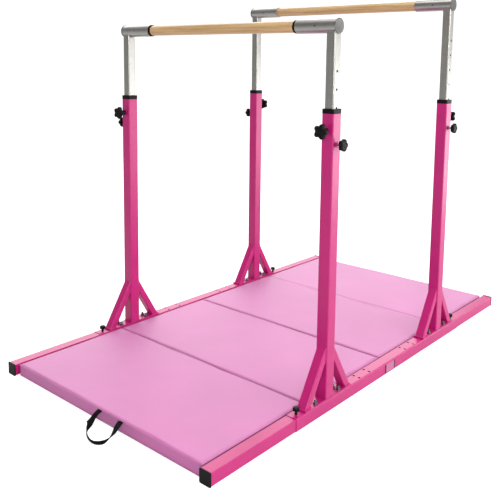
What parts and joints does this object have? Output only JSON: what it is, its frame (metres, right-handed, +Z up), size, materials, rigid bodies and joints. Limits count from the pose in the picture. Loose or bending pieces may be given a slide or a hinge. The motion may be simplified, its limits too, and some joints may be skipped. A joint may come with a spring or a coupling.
{
  "type": "uneven parallel bars",
  "caption": "Home gymnastics bars: a low and a high round wooden bar on telescopic posts with lobed knobs, standing on floor rails around a folding mat.",
  "frame": {"origin": "middle of the footprint, on the floor", "axes": "+X along the bars to the right, +Y along the floor rails to the far end with the high bar, +Z up"},
  "size_m": [1.2426, 2.3568, 1.5795],
  "materials": {
    "pink_powder_coat": "semi-gloss pink powder coat on steel tube",
    "zinc_plated_steel": "satin zinc-plated steel tube",
    "black_plastic": "moulded black plastic",
    "black_rubber": "matt black rubber",
    "varnished_beech": "beech with a satin varnish",
    "pink_vinyl": "pink vinyl cover over foam",
    "black_webbing": "woven black webbing",
    "blank_label": "blank maker's plate"
  },
  "bodies": {
    "frame": {"rail_middle_left": "pink_powder_coat", "foot_near_left": "pink_powder_coat", "post_near_left": "pink_powder_coat", "post_collar_near_left": "black_plastic", "foot_far_left": "pink_powder_coat", "post_far_left": "pink_powder_coat", "post_collar_far_left": "black_plastic", "rail_middle_right": "pink_powder_coat", "foot_near_right": "pink_powder_coat", "post_near_right": "pink_powder_coat", "post_collar_near_right": "black_plastic", "foot_far_right": "pink_powder_coat", "post_far_right": "pink_powder_coat", "post_collar_far_right": "black_plastic", "rail_label": "blank_label"},
    "rail_extension_near_left": {"rail_extension_near_left": "pink_powder_coat", "rail_end_cap_near_left": "black_plastic"},
    "rail_knob_near_left": {"rail_knob_near_left": "black_plastic"},
    "clamp_knob_near_left": {"clamp_knob_near_left": "black_plastic"},
    "height_pin_near_left": {"height_pin_near_left": "black_plastic"},
    "rail_extension_far_left": {"rail_extension_far_left": "pink_powder_coat", "rail_end_cap_far_left": "black_plastic"},
    "rail_knob_far_left": {"rail_knob_far_left": "black_plastic"},
    "clamp_knob_far_left": {"clamp_knob_far_left": "black_plastic"},
    "height_pin_far_left": {"height_pin_far_left": "black_plastic"},
    "rail_extension_near_right": {"rail_extension_near_right": "pink_powder_coat", "rail_end_cap_near_right": "black_plastic"},
    "rail_knob_near_right": {"rail_knob_near_right": "black_plastic"},
    "clamp_knob_near_right": {"clamp_knob_near_right": "black_plastic"},
    "height_pin_near_right": {"height_pin_near_right": "black_plastic"},
    "rail_extension_far_right": {"rail_extension_far_right": "pink_powder_coat", "rail_end_cap_far_right": "black_plastic"},
    "rail_knob_far_right": {"rail_knob_far_right": "black_plastic"},
    "clamp_knob_far_right": {"clamp_knob_far_right": "black_plastic"},
    "height_pin_far_right": {"height_pin_far_right": "black_plastic"},
    "low_bar": {"low_bar": "varnished_beech", "inner_tube_near_left": "zinc_plated_steel", "low_bar_sleeve_left": "zinc_plated_steel", "low_bar_cap_left": "zinc_plated_steel", "low_bar_ring_left": "black_rubber", "inner_tube_near_right": "zinc_plated_steel", "low_bar_sleeve_right": "zinc_plated_steel", "low_bar_cap_right": "zinc_plated_steel", "low_bar_ring_right": "black_rubber"},
    "high_bar": {"high_bar": "varnished_beech", "inner_tube_far_left": "zinc_plated_steel", "high_bar_sleeve_left": "zinc_plated_steel", "high_bar_cap_left": "zinc_plated_steel", "inner_tube_far_right": "zinc_plated_steel", "high_bar_sleeve_right": "zinc_plated_steel", "high_bar_cap_right": "zinc_plated_steel"},
    "mat_panel_1": {"mat_panel_1": "pink_vinyl", "mat_handle_near": "black_webbing"},
    "mat_panel_2": {"mat_panel_2": "pink_vinyl"},
    "mat_panel_3": {"mat_panel_3": "pink_vinyl"},
    "mat_panel_4": {"mat_panel_4": "pink_vinyl", "mat_handle_far": "black_webbing"}
  },
  "joints": [
    {"name": "rail_extension_near_left_slide", "type": "slide", "parent": "frame", "child": "rail_extension_near_left", "axis": [0, -1, 0], "range_m": [0, 0.08]},
    {"name": "rail_knob_near_left_turn", "type": "hinge", "parent": "frame", "child": "rail_knob_near_left", "pos_m": [-0.56, -0.621, 0.07], "axis": [0, 0, 1], "continuous": true},
    {"name": "clamp_knob_near_left_turn", "type": "hinge", "parent": "frame", "child": "clamp_knob_near_left", "pos_m": [-0.56, -0.497, 1.054], "axis": [0, -1, 0], "continuous": true},
    {"name": "height_pin_near_left_push", "type": "slide", "parent": "frame", "child": "height_pin_near_left", "axis": [1, 0, 0], "range_m": [0, 0.01]},
    {"name": "rail_extension_far_left_slide", "type": "slide", "parent": "frame", "child": "rail_extension_far_left", "axis": [0, 1, 0], "range_m": [0, 0.08]},
    {"name": "rail_knob_far_left_turn", "type": "hinge", "parent": "frame", "child": "rail_knob_far_left", "pos_m": [-0.56, 0.621, 0.07], "axis": [0, 0, 1], "continuous": true},
    {"name": "clamp_knob_far_left_turn", "type": "hinge", "parent": "frame", "child": "clamp_knob_far_left", "pos_m": [-0.56, 0.497, 1.054], "axis": [0, 1, 0], "continuous": true},
    {"name": "height_pin_far_left_push", "type": "slide", "parent": "frame", "child": "height_pin_far_left", "axis": [1, 0, 0], "range_m": [0, 0.01]},
    {"name": "rail_extension_near_right_slide", "type": "slide", "parent": "frame", "child": "rail_extension_near_right", "axis": [0, -1, 0], "range_m": [0, 0.08]},
    {"name": "rail_knob_near_right_turn", "type": "hinge", "parent": "frame", "child": "rail_knob_near_right", "pos_m": [0.56, -0.621, 0.07], "axis": [0, 0, 1], "continuous": true},
    {"name": "clamp_knob_near_right_turn", "type": "hinge", "parent": "frame", "child": "clamp_knob_near_right", "pos_m": [0.56, -0.497, 1.054], "axis": [0, -1, 0], "continuous": true},
    {"name": "height_pin_near_right_push", "type": "slide", "parent": "frame", "child": "height_pin_near_right", "axis": [-1, 0, 0], "range_m": [0, 0.01]},
    {"name": "rail_extension_far_right_slide", "type": "slide", "parent": "frame", "child": "rail_extension_far_right", "axis": [0, 1, 0], "range_m": [0, 0.08]},
    {"name": "rail_knob_far_right_turn", "type": "hinge", "parent": "frame", "child": "rail_knob_far_right", "pos_m": [0.56, 0.621, 0.07], "axis": [0, 0, 1], "continuous": true},
    {"name": "clamp_knob_far_right_turn", "type": "hinge", "parent": "frame", "child": "clamp_knob_far_right", "pos_m": [0.56, 0.497, 1.054], "axis": [0, 1, 0], "continuous": true},
    {"name": "height_pin_far_right_push", "type": "slide", "parent": "frame", "child": "height_pin_far_right", "axis": [-1, 0, 0], "range_m": [0, 0.01]},
    {"name": "low_bar_height", "type": "slide", "parent": "frame", "child": "low_bar", "axis": [0, 0, 1], "range_m": [-0.26, 0.26]},
    {"name": "high_bar_height", "type": "slide", "parent": "frame", "child": "high_bar", "axis": [0, 0, 1], "range_m": [-0.13, 0.39]},
    {"name": "mat_slide", "type": "slide", "parent": "frame", "child": "mat_panel_1", "axis": [0, 1, 0], "range_m": [-0.6, 0.6]},
    {"name": "mat_fold_1_2", "type": "hinge", "parent": "mat_panel_1", "child": "mat_panel_2", "pos_m": [0, -0.533, 0.0505], "axis": [1, 0, 0], "range_deg": [0, 180]},
    {"name": "mat_fold_2_3", "type": "hinge", "parent": "mat_panel_2", "child": "mat_panel_3", "pos_m": [0, 0, -0.0005], "axis": [1, 0, 0], "range_deg": [-180, 0]},
    {"name": "mat_fold_3_4", "type": "hinge", "parent": "mat_panel_3", "child": "mat_panel_4", "pos_m": [0, 0.533, 0.0505], "axis": [1, 0, 0], "range_deg": [0, 180]}
  ],
  "couplings": [
    {"joint": "mat_fold_2_3", "follows": "mat_fold_1_2", "ratio": -1},
    {"joint": "mat_fold_3_4", "follows": "mat_fold_1_2", "ratio": 1}
  ]
}
